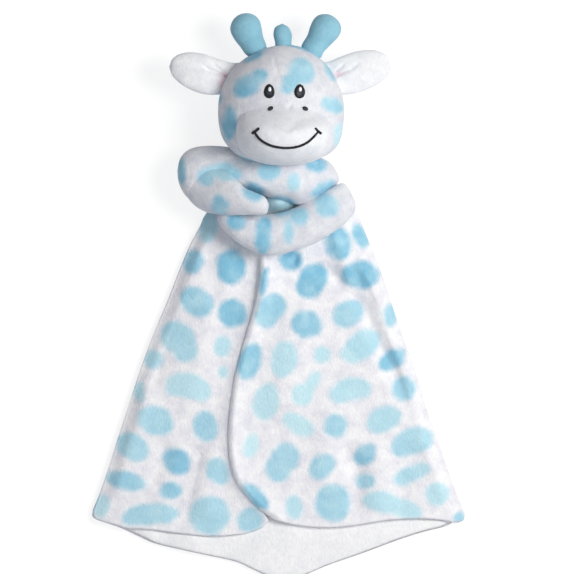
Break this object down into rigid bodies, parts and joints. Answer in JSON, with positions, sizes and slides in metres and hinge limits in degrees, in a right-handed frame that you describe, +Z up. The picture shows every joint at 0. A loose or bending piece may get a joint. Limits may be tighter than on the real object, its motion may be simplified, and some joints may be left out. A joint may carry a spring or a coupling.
{
  "type": "comfort blanket lovey",
  "caption": "Soft giraffe head on a lined blanket whose stuffed arms hug each other; the head nods and turns and the front flaps open.",
  "frame": {"origin": "on the surface that the toy lies on, under the middle of its bounding box", "axes": "+Z up out of the face, +Y towards the top of the head, +X towards the toy's right side as seen from the front"},
  "size_m": [0.282, 0.4258, 0.1014],
  "materials": {
    "spotted_plush": "short soft pile, white with light blue patches",
    "white_plush": "short soft pile, white",
    "lining_plush": "smooth soft pile, white",
    "blue_plush": "short soft pile, light blue",
    "wadding": "loose white fibre",
    "black_thread": "close satin stitching, black",
    "white_thread": "close satin stitching, white"
  },
  "bodies": {
    "torso": {"chest_cover": "spotted_plush", "chest_wadding": "wadding", "left_upper_arm_cover": "spotted_plush", "left_upper_arm_wadding": "wadding", "back_outer_cloth": "spotted_plush", "back_lining": "lining_plush", "left_yoke_lining": "lining_plush", "left_yoke_cloth": "spotted_plush", "right_yoke_lining": "lining_plush", "right_yoke_cloth": "spotted_plush"},
    "neck": {"neck_wadding": "wadding"},
    "head": {"head_cover": "spotted_plush", "head_wadding": "wadding", "muzzle_cover": "white_plush", "muzzle_wadding": "wadding", "left_eye": "black_thread", "right_eye": "black_thread", "left_eye_glint": "white_thread", "right_eye_glint": "white_thread", "left_nostril": "black_thread", "right_nostril": "black_thread", "mouth_stitching": "black_thread"},
    "left_ear": {"left_ear_front": "white_plush", "left_ear_back": "spotted_plush"},
    "right_ear": {"right_ear_front": "white_plush", "right_ear_back": "spotted_plush"},
    "left_horn": {"left_horn_cover": "blue_plush", "left_horn_wadding": "wadding"},
    "right_horn": {"right_horn_cover": "blue_plush", "right_horn_wadding": "wadding"},
    "tuft": {"hair_tuft": "blue_plush"},
    "left_forearm": {"left_forearm_cover": "spotted_plush", "left_forearm_wadding": "wadding"},
    "right_arm": {"right_arm_cover": "spotted_plush", "right_arm_wadding": "wadding"},
    "left_flap": {"left_flap_lining": "lining_plush", "left_flap_cloth": "spotted_plush"},
    "right_flap": {"right_flap_lining": "lining_plush", "right_flap_cloth": "spotted_plush"}
  },
  "joints": [
    {"name": "head_nod", "type": "hinge", "parent": "torso", "child": "neck", "pos_m": [0, 0.09288, 0.035], "axis": [1, 0, 0], "range_deg": [0, 20]},
    {"name": "head_turn", "type": "hinge", "parent": "neck", "child": "head", "pos_m": [0, 0.09288, 0.035], "axis": [0, 1, 0], "range_deg": [-30, 30], "stiffness_Nm_per_rad": 0.15},
    {"name": "left_ear_fold", "type": "hinge", "parent": "head", "child": "left_ear", "pos_m": [-0.04346, 0.16318, 0.0395], "axis": [-0.4235, -0.9059, 0], "range_deg": [-40, 40], "stiffness_Nm_per_rad": 0.02},
    {"name": "right_ear_fold", "type": "hinge", "parent": "head", "child": "right_ear", "pos_m": [0.04346, 0.16318, 0.0395], "axis": [0.4235, -0.9059, 0], "range_deg": [-40, 40], "stiffness_Nm_per_rad": 0.02},
    {"name": "left_horn_bend", "type": "hinge", "parent": "head", "child": "left_horn", "pos_m": [-0.01805, 0.18449, 0.0395], "axis": [0, 0, 1], "range_deg": [-15, 15], "stiffness_Nm_per_rad": 0.01},
    {"name": "right_horn_bend", "type": "hinge", "parent": "head", "child": "right_horn", "pos_m": [0.02404, 0.18222, 0.0395], "axis": [0, 0, 1], "range_deg": [-15, 15], "stiffness_Nm_per_rad": 0.01},
    {"name": "tuft_bend", "type": "hinge", "parent": "head", "child": "tuft", "pos_m": [0.00304, 0.18683, 0.0395], "axis": [0, 0, 1], "range_deg": [-12, 12], "stiffness_Nm_per_rad": 0.01},
    {"name": "left_elbow_open", "type": "hinge", "parent": "torso", "child": "left_forearm", "pos_m": [-0.06151, 0.07717, 0.027], "axis": [0, -1, 0], "range_deg": [0, 120]},
    {"name": "right_arm_hug", "type": "hinge", "parent": "torso", "child": "right_arm", "pos_m": [0.0398, 0.06967, 0.03], "axis": [0, 0, -1], "range_deg": [-75, 0]},
    {"name": "left_flap_open", "type": "hinge", "parent": "torso", "child": "left_flap", "pos_m": [-0.02256, 0.02832, 0.01425], "axis": [-0.517, -0.8557, -0.0225], "range_deg": [0, 150]},
    {"name": "right_flap_open", "type": "hinge", "parent": "torso", "child": "right_flap", "pos_m": [-0.00902, 0.02688, 0.01425], "axis": [-0.6, 0.7998, 0.0208], "range_deg": [0, 150]}
  ]
}
